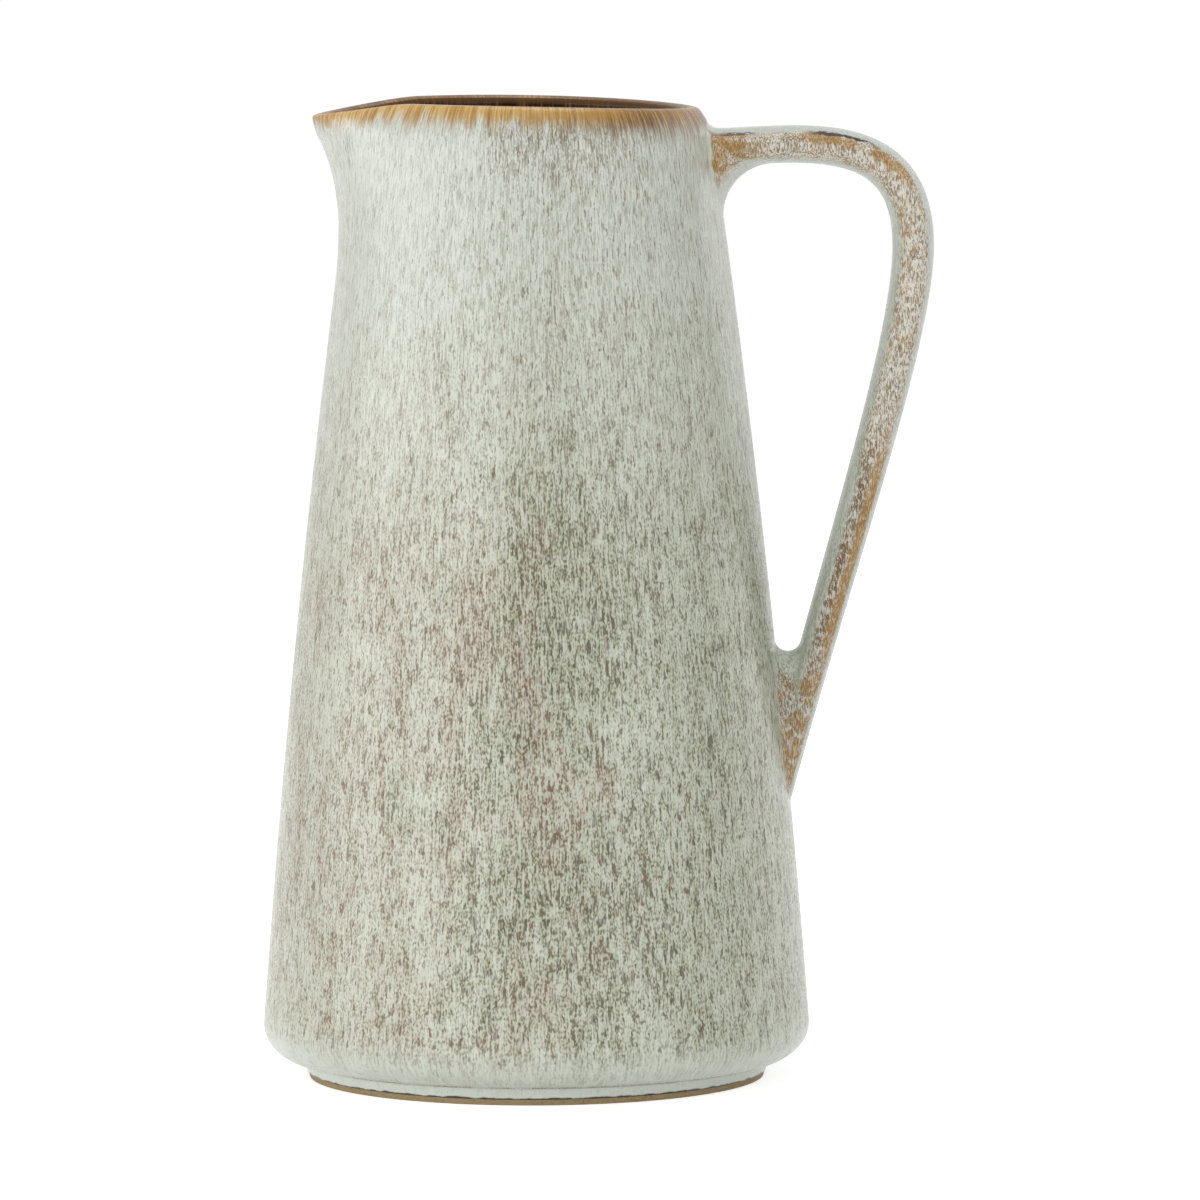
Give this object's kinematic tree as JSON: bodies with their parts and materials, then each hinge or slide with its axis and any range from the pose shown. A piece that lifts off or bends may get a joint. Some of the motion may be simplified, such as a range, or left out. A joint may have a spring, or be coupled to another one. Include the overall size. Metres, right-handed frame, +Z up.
{
  "type": "stoneware jug",
  "caption": "Tall tapered stoneware jug with a pinched pouring spout, a strap handle and a streaked pale glaze over a brown lining.",
  "frame": {"origin": "middle of the jug's bounding box, on the surface it stands on; the jug's own upright axis is 16 mm towards -X from it", "axes": "+Z up through the mouth, +X towards the handle, -X towards the spout"},
  "size_m": [0.1718, 0.14, 0.25],
  "materials": {
    "clay": "bare fired stoneware, fine and matt",
    "pale_glaze": "pale satin gloss glaze with fine brown streaks",
    "brown_glaze": "dark brown gloss glaze"
  },
  "bodies": {
    "root": {"clay_body": "clay", "handle": "clay", "upper_handle_joint": "clay", "lower_handle_joint": "clay", "outer_glaze": "pale_glaze", "handle_glaze": "pale_glaze", "base_glaze": "pale_glaze", "liner_glaze": "brown_glaze"}
  },
  "joints": []
}
